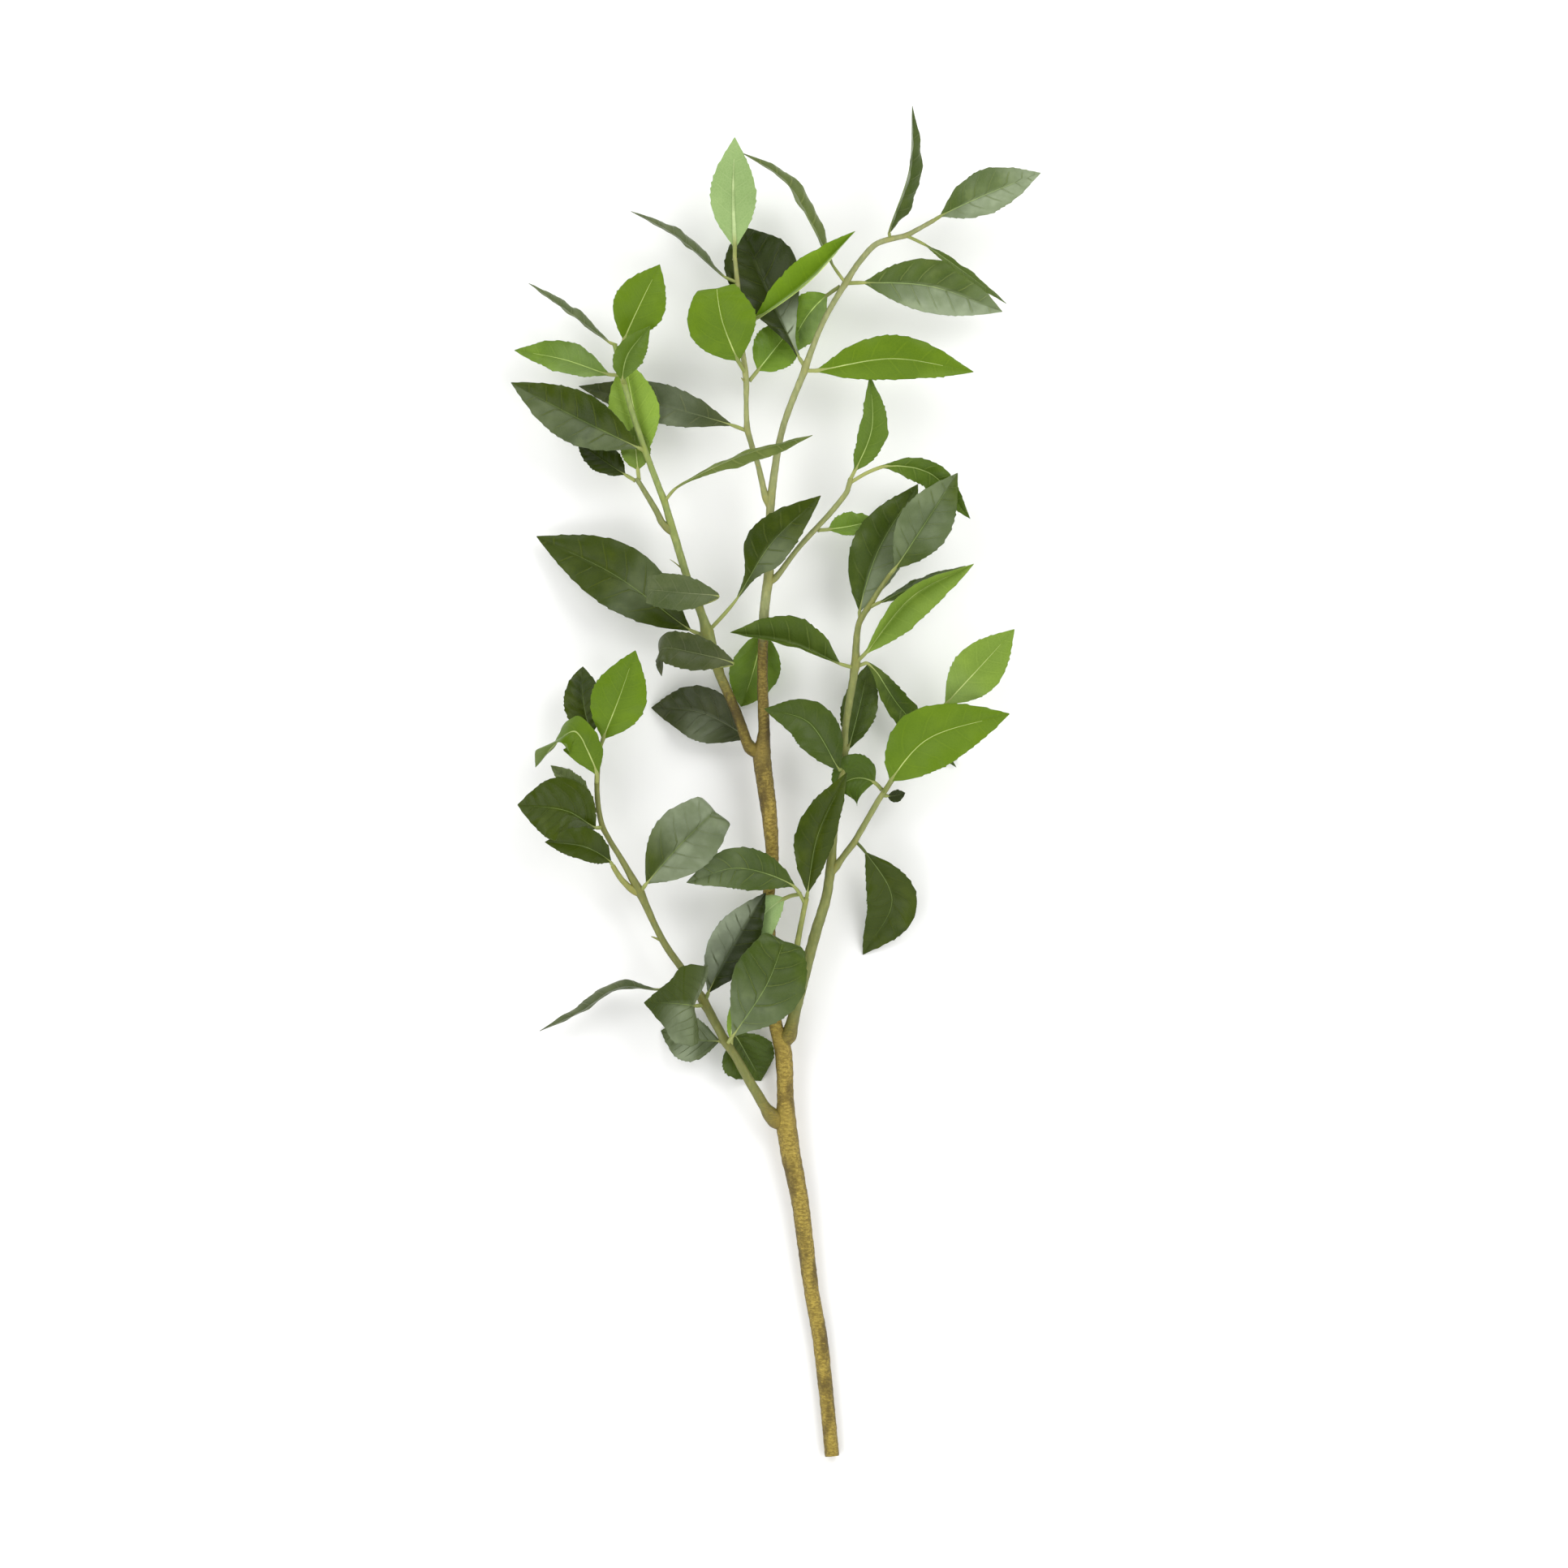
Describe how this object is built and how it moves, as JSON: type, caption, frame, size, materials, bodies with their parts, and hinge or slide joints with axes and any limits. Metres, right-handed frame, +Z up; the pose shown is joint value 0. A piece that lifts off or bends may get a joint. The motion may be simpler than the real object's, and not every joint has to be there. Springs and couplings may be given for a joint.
{
  "type": "bay leaf branch",
  "caption": "Cut branch of bay laurel laid flat: a forked woody stem with slender green twigs that carry glossy, pointed, finely toothed leaves.",
  "frame": {"origin": "middle of the branch in plan, on the surface it lies on", "axes": "+Y from the cut end towards the shoots, +X to the right seen from above, +Z up"},
  "size_m": [0.326, 0.8324, 0.0669],
  "materials": {
    "bark": "fibrous, matt golden-brown bark with darker blotches",
    "green_twig": "satin green young wood",
    "leaf_dark": "semi-gloss deep green leaf with raised veins",
    "leaf_green": "satin mid-green leaf",
    "leaf_bright": "satin yellow-green young leaf with a pale midrib",
    "leaf_pale": "matt pale green underside"
  },
  "bodies": {
    "root": {"main_stem": "bark", "left_branch": "bark", "left_fork_twig": "green_twig", "upper_left_twig": "green_twig", "middle_right_twig": "green_twig", "right_branch": "green_twig", "right_side_twig": "green_twig", "centre_twig": "green_twig", "lower_left_branch": "green_twig", "lower_left_fork_twig": "green_twig", "crown_leaf_1": "leaf_dark", "crown_leaf_2": "leaf_dark", "crown_leaf_3": "leaf_green", "crown_leaf_4": "leaf_dark", "crown_leaf_5": "leaf_green", "crown_leaf_6": "leaf_dark", "crown_leaf_7": "leaf_bright", "upper_leaf_1": "leaf_bright", "upper_leaf_2": "leaf_pale", "upper_leaf_3": "leaf_dark", "upper_leaf_4": "leaf_bright", "upper_leaf_5": "leaf_dark", "left_leaf_1": "leaf_bright", "left_leaf_2": "leaf_green", "left_leaf_3": "leaf_dark", "left_leaf_4": "leaf_green", "left_leaf_5": "leaf_dark", "left_leaf_6": "leaf_bright", "left_leaf_7": "leaf_green", "left_leaf_8": "leaf_dark", "left_leaf_9": "leaf_green", "left_leaf_10": "leaf_dark", "left_leaf_11": "leaf_dark", "middle_leaf_1": "leaf_dark", "middle_leaf_2": "leaf_bright", "middle_leaf_3": "leaf_green", "right_leaf_1": "leaf_green", "right_leaf_2": "leaf_green", "right_leaf_3": "leaf_dark", "right_leaf_4": "leaf_bright", "right_leaf_5": "leaf_green", "right_leaf_6": "leaf_dark", "right_leaf_7": "leaf_dark", "right_leaf_8": "leaf_dark", "side_leaf_1": "leaf_pale", "side_leaf_2": "leaf_bright", "side_leaf_3": "leaf_dark", "centre_leaf_1": "leaf_dark", "centre_leaf_2": "leaf_green", "low_leaf_1": "leaf_dark", "low_leaf_2": "leaf_dark", "low_leaf_3": "leaf_dark", "low_leaf_4": "leaf_dark", "low_leaf_5": "leaf_green", "low_leaf_6": "leaf_dark", "low_leaf_7": "leaf_bright", "low_leaf_8": "leaf_bright", "low_leaf_9": "leaf_dark", "low_leaf_10": "leaf_dark", "low_leaf_11": "leaf_green"}
  },
  "joints": []
}
